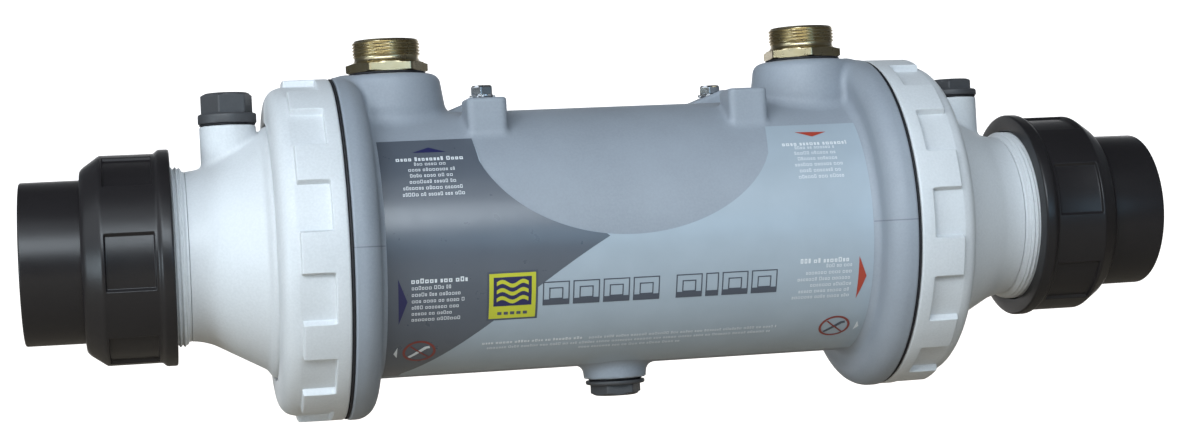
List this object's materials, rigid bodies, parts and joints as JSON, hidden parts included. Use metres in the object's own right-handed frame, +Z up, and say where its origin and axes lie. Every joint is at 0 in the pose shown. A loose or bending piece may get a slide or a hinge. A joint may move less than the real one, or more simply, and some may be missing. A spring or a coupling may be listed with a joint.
{
  "type": "pool heat exchanger",
  "caption": "Horizontal water-to-water pool heater: tubular shell with threaded end caps, pipe unions at both ends, two top boiler connections, vents and a drain.",
  "frame": {"origin": "on the main axis at the middle of the shell", "axes": "+X along the main axis towards the pool outlet, +Z up through the boiler connections, -Y is the label side"},
  "size_m": [0.5606, 0.1648, 0.1822],
  "materials": {
    "grey_shell": "satin moulded grey plastic, fine texture",
    "printed_label": "printed film, satin, dark and light blue-grey fields",
    "white_cap": "white moulded plastic, satin",
    "dark_pvc": "dark grey rigid PVC, satin",
    "grey_plug": "dark grey moulded plastic",
    "black_rubber": "black rubber",
    "brass": "machined brass",
    "chrome": "bright plated steel",
    "steel": "stainless steel",
    "tube_steel": "drawn stainless tube"
  },
  "bodies": {
    "shell": {"shell_body": "grey_shell", "front_label": "printed_label", "boiler_outlet_adaptor": "brass", "boiler_outlet_seal": "black_rubber", "boiler_inlet_adaptor": "brass", "boiler_inlet_seal": "black_rubber", "fixing_bolt_front": "chrome", "lock_washer_front": "steel", "fixing_bolt_rear": "chrome", "lock_washer_rear": "steel", "left_flange_gasket": "black_rubber", "left_tube_sheet": "steel", "right_flange_gasket": "black_rubber", "right_tube_sheet": "steel", "baffle_1": "steel", "baffle_2": "steel", "baffle_3": "steel", "tube_1": "tube_steel", "tube_2": "tube_steel", "tube_3": "tube_steel", "tube_4": "tube_steel", "tube_5": "tube_steel", "tube_6": "tube_steel", "tube_7": "tube_steel", "tube_8": "tube_steel", "tube_9": "tube_steel", "tube_10": "tube_steel", "tube_11": "tube_steel", "tube_12": "tube_steel", "tube_13": "tube_steel", "tie_rod_1": "steel", "tie_rod_2": "steel", "tie_rod_3": "steel"},
    "drain_seal": {"drain_seal": "black_rubber"},
    "drain_plug": {"drain_plug": "grey_plug"},
    "left_cap": {"left_end_cap": "white_cap", "left_cap_oring": "black_rubber"},
    "left_ring_nut": {"left_ring_nut": "white_cap"},
    "left_tail": {"left_union_tail": "dark_pvc", "left_union_oring": "black_rubber"},
    "left_union_nut": {"left_union_nut": "dark_pvc"},
    "left_vent_seal": {"left_vent_seal": "black_rubber"},
    "left_vent_plug": {"left_vent_plug": "grey_plug"},
    "right_cap": {"right_end_cap": "white_cap", "right_cap_oring": "black_rubber"},
    "right_ring_nut": {"right_ring_nut": "white_cap"},
    "right_tail": {"right_union_tail": "dark_pvc", "right_union_oring": "black_rubber"},
    "right_union_nut": {"right_union_nut": "dark_pvc"},
    "right_vent_seal": {"right_vent_seal": "black_rubber"},
    "right_vent_plug": {"right_vent_plug": "grey_plug"}
  },
  "joints": [
    {"name": "left_cap_slide", "type": "slide", "parent": "shell", "child": "left_cap", "axis": [-1, 0, 0], "range_m": [0, 0.02]},
    {"name": "left_ring_nut_turn", "type": "hinge", "parent": "left_cap", "child": "left_ring_nut", "pos_m": [-0.15, 0, 0], "axis": [-1, 0, 0], "range_deg": [0, 1200]},
    {"name": "left_union_slide", "type": "slide", "parent": "left_cap", "child": "left_tail", "axis": [-1, 0, 0], "range_m": [0, 0.026]},
    {"name": "left_union_nut_turn", "type": "hinge", "parent": "left_tail", "child": "left_union_nut", "pos_m": [-0.23, 0, 0], "axis": [-1, 0, 0], "range_deg": [0, 2340]},
    {"name": "left_vent_slide", "type": "slide", "parent": "left_cap", "child": "left_vent_seal", "axis": [0, 0, 1], "range_m": [0, 0.012]},
    {"name": "left_vent_plug_turn", "type": "hinge", "parent": "left_vent_seal", "child": "left_vent_plug", "pos_m": [-0.1828, 0, 0.0613], "axis": [0, 0, 1], "range_deg": [0, 2160]},
    {"name": "right_cap_slide", "type": "slide", "parent": "shell", "child": "right_cap", "axis": [1, 0, 0], "range_m": [0, 0.02]},
    {"name": "right_ring_nut_turn", "type": "hinge", "parent": "right_cap", "child": "right_ring_nut", "pos_m": [0.15, 0, 0], "axis": [1, 0, 0], "range_deg": [0, 1200]},
    {"name": "right_union_slide", "type": "slide", "parent": "right_cap", "child": "right_tail", "axis": [1, 0, 0], "range_m": [0, 0.026]},
    {"name": "right_union_nut_turn", "type": "hinge", "parent": "right_tail", "child": "right_union_nut", "pos_m": [0.23, 0, 0], "axis": [1, 0, 0], "range_deg": [0, 2340]},
    {"name": "right_vent_slide", "type": "slide", "parent": "right_cap", "child": "right_vent_seal", "axis": [0, 0, 1], "range_m": [0, 0.012]},
    {"name": "right_vent_plug_turn", "type": "hinge", "parent": "right_vent_seal", "child": "right_vent_plug", "pos_m": [0.1828, 0, 0.0613], "axis": [0, 0, 1], "range_deg": [0, 2160]},
    {"name": "drain_slide", "type": "slide", "parent": "shell", "child": "drain_seal", "axis": [0, 0, -1], "range_m": [0, 0.012]},
    {"name": "drain_plug_turn", "type": "hinge", "parent": "drain_seal", "child": "drain_plug", "pos_m": [0, 0, -0.0706], "axis": [0, 0, -1], "range_deg": [0, 2160]}
  ],
  "couplings": [
    {"joint": "left_cap_slide", "follows": "left_ring_nut_turn", "m_per_rad": 0.00095493},
    {"joint": "left_union_slide", "follows": "left_union_nut_turn", "m_per_rad": 0.00063662},
    {"joint": "left_vent_slide", "follows": "left_vent_plug_turn", "m_per_rad": 0.00031831},
    {"joint": "right_cap_slide", "follows": "right_ring_nut_turn", "m_per_rad": 0.00095493},
    {"joint": "right_union_slide", "follows": "right_union_nut_turn", "m_per_rad": 0.00063662},
    {"joint": "right_vent_slide", "follows": "right_vent_plug_turn", "m_per_rad": 0.00031831},
    {"joint": "drain_slide", "follows": "drain_plug_turn", "m_per_rad": 0.00031831}
  ]
}
